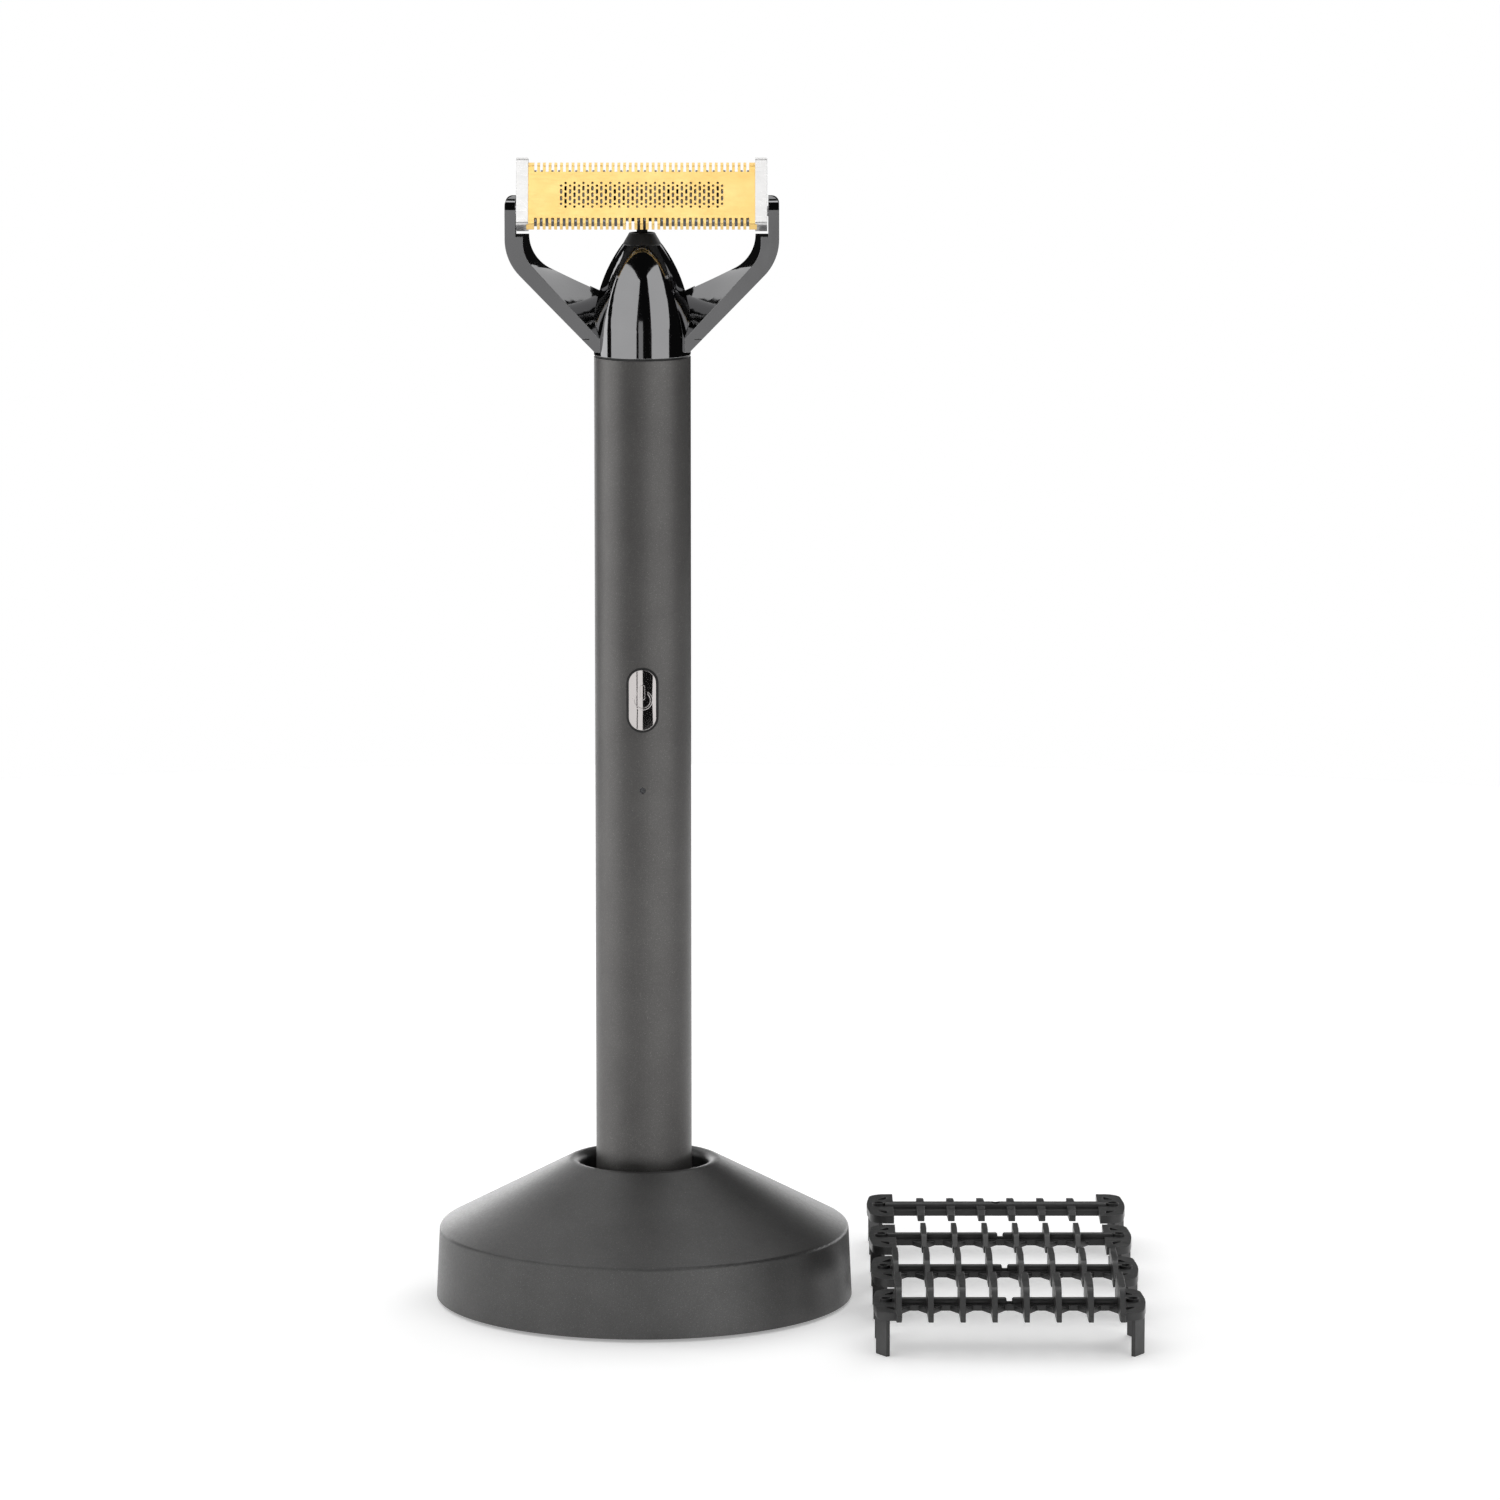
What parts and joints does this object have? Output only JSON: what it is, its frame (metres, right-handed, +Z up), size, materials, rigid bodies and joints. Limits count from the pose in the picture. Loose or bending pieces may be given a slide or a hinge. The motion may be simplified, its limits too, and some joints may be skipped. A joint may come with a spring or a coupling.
{
  "type": "beard trimmer",
  "caption": "Cordless beard trimmer: slim round handle, forked neck and tilting two-edged foil head, standing in a weighted charging stand, with clip-on guide combs laid beside it.",
  "frame": {"origin": "centre of the stand's rubber pad, on the surface it stands on", "axes": "+Z up along the handle, -Y towards the front of the cutter head, +X to the side where the guide combs lie"},
  "size_m": [0.1248, 0.0983, 0.2039],
  "materials": {
    "stand_coat": "satin metallic",
    "handle_coat": "satin metallic",
    "black_chrome": "polished",
    "gold": "satin",
    "silver": "satin",
    "comb_plastic": "satin",
    "button_chrome": "polished",
    "seal_rubber": "matte",
    "spring_steel": "satin",
    "ballast_iron": "matte",
    "black_plastic": "matte",
    "contact_gold": "polished",
    "board_green": "semi-gloss",
    "cell_wrap": "gloss",
    "clear_plastic": "clear",
    "white_nylon": "matte"
  },
  "bodies": {
    "stand": {"stand_shell": "stand_coat", "socket_liner": "black_plastic", "ballast_weight": "ballast_iron", "base_plate": "black_plastic", "base_pad": "seal_rubber", "base_screws": "spring_steel", "charge_board": "board_green", "probe_barrels": "contact_gold", "power_inlet": "spring_steel"},
    "charge_probes": {"charge_probes": "contact_gold"},
    "trimmer": {"handle_tube": "handle_coat", "tail_cap": "black_plastic", "tail_contacts": "contact_gold", "tail_seal": "seal_rubber", "inner_chassis": "black_plastic", "battery_cell": "cell_wrap", "battery_tabs": "spring_steel", "circuit_board": "board_green", "switch_body": "black_plastic", "charge_led": "clear_plastic", "light_pipe": "clear_plastic", "control_chips": "black_plastic", "button_seal": "seal_rubber", "motor_can": "spring_steel", "motor_mount": "white_nylon", "motor_screws": "spring_steel", "lever_pin": "spring_steel", "drive_boot": "seal_rubber", "neck_ring": "black_plastic", "fork_neck": "black_chrome", "pivot_pins": "spring_steel"},
    "power_button": {"power_button": "button_chrome", "switch_plunger": "white_nylon"},
    "rotor": {"motor_shaft": "spring_steel", "crank": "white_nylon"},
    "drive_lever": {"drive_lever": "black_plastic"},
    "head": {"head_carrier": "black_plastic", "end_cap_left": "silver", "end_cap_right": "silver", "front_foil": "gold", "blade_springs": "spring_steel", "head_springs": "spring_steel"},
    "blade": {"moving_blade": "spring_steel", "blade_slider": "white_nylon"},
    "comb_1": {"guide_comb_1": "comb_plastic"},
    "comb_2": {"guide_comb_2": "comb_plastic"},
    "comb_3": {"guide_comb_3": "comb_plastic"},
    "comb_4": {"guide_comb_4": "comb_plastic"}
  },
  "joints": [
    {"name": "lift_from_stand", "type": "slide", "parent": "stand", "child": "trimmer", "axis": [0, 0, 1], "range_m": [0, 0.04]},
    {"name": "probe_press", "type": "slide", "parent": "stand", "child": "charge_probes", "axis": [0, 0, 1], "range_m": [-0.0008, 0], "stiffness_N_per_m": 200},
    {"name": "button_press", "type": "slide", "parent": "trimmer", "child": "power_button", "axis": [0, 1, 0], "range_m": [0, 0.0005], "stiffness_N_per_m": 400},
    {"name": "motor_spin", "type": "hinge", "parent": "trimmer", "child": "rotor", "pos_m": [0, 0, 0.14], "axis": [0, 0, 1], "continuous": true},
    {"name": "lever_rock", "type": "hinge", "parent": "trimmer", "child": "drive_lever", "pos_m": [0, 0, 0.165], "axis": [0, 1, 0], "range_deg": [-1.17, 1.17]},
    {"name": "head_tilt", "type": "hinge", "parent": "trimmer", "child": "head", "pos_m": [0, -0.0015, 0.1945], "axis": [1, 0, 0], "range_deg": [-20, 25], "stiffness_Nm_per_rad": 0.02},
    {"name": "blade_slide", "type": "slide", "parent": "head", "child": "blade", "axis": [1, 0, 0], "range_m": [-0.0006, 0.0006]},
    {"name": "comb_1_lift", "type": "slide", "parent": "stand", "child": "comb_1", "axis": [0, 0, 1], "range_m": [0, 0.04]},
    {"name": "comb_2_lift", "type": "slide", "parent": "stand", "child": "comb_2", "axis": [0, 0, 1], "range_m": [0, 0.04]},
    {"name": "comb_3_lift", "type": "slide", "parent": "stand", "child": "comb_3", "axis": [0, 0, 1], "range_m": [0, 0.04]},
    {"name": "comb_4_lift", "type": "slide", "parent": "stand", "child": "comb_4", "axis": [0, 0, 1], "range_m": [0, 0.04]}
  ],
  "couplings": [
    {"joint": "lever_rock", "follows": "blade_slide", "rad_per_m": 33.9}
  ]
}
